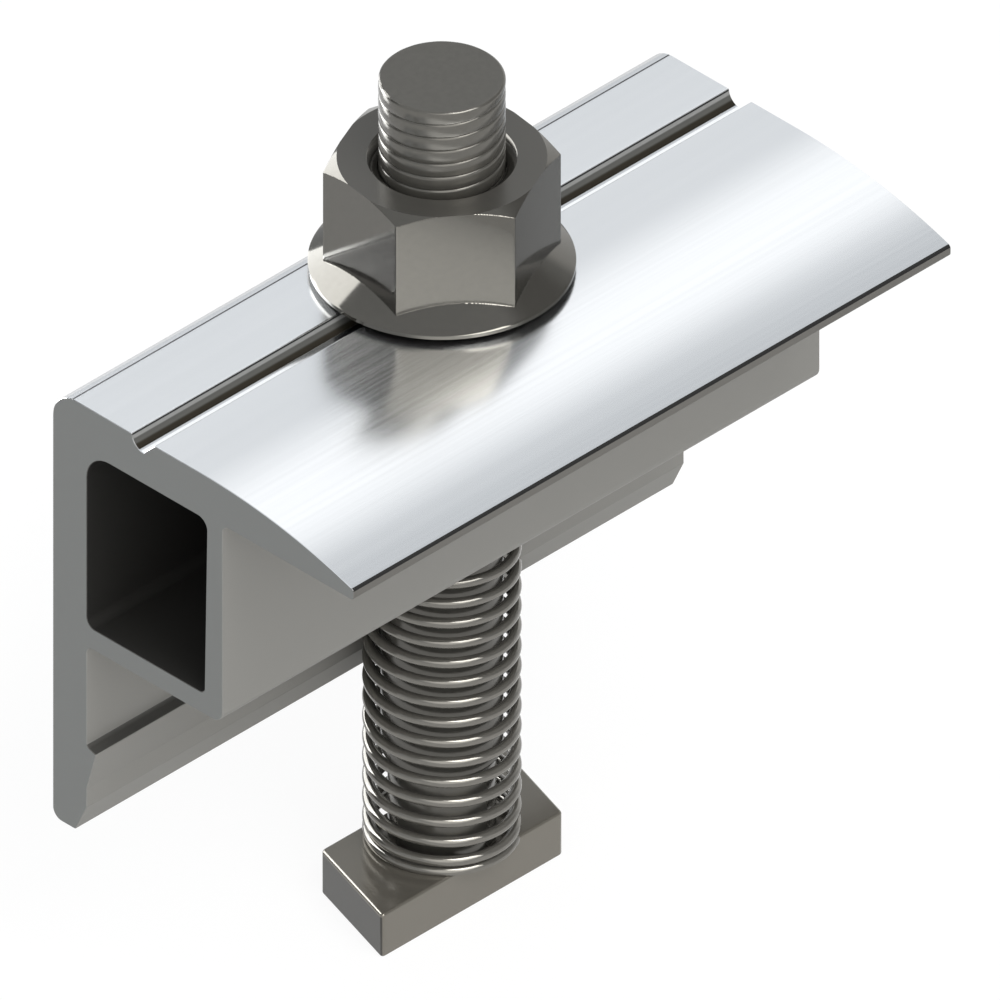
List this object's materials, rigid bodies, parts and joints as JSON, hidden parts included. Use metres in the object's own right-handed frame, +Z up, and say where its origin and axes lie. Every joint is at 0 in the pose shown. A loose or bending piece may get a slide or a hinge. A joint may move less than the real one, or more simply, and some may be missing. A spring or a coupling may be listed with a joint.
{
  "type": "solar end clamp",
  "caption": "Aluminium end clamp for the last solar module of a row, with a hammer-head bolt, a flange nut and a spring that holds the clamp up until it is tightened.",
  "frame": {"origin": "on the bolt's axis, in the plane of the bolt head's upper face that grips the rail's lips", "axes": "+Z up along the bolt towards its free end, X along the extrusion, -Y the way the jaw reaches over the module"},
  "size_m": [0.0528, 0.027, 0.0609],
  "materials": {
    "extrusion": "mill-drawn top, matt sawn ends",
    "bolt_steel": "bright rolled and upset stainless steel",
    "spring_wire": "bright drawn stainless wire",
    "nut_steel": "bright turned stainless steel"
  },
  "bodies": {
    "bolt": {"hammer_bolt": "bolt_steel"},
    "spring": {"spring": "spring_wire"},
    "clamp": {"clamp_profile": "extrusion"},
    "nut": {"flange_nut": "nut_steel"}
  },
  "joints": [
    {"name": "head_turn", "type": "hinge", "parent": "bolt", "child": "spring", "pos_m": [0, 0, 0], "axis": [0, 0, 1], "range_deg": [-90, 0]},
    {"name": "clamp_travel", "type": "slide", "parent": "spring", "child": "clamp", "axis": [0, 0, 1], "range_m": [-0.00805, 0], "deforming": ["spring"]},
    {"name": "nut_turn", "type": "hinge", "parent": "clamp", "child": "nut", "pos_m": [0, 0, 0.0431], "axis": [0, 0, 1], "range_deg": [-2880, 0]}
  ],
  "couplings": [
    {"joint": "clamp_travel", "follows": "nut_turn", "m_per_rad": 0.00015915}
  ]
}
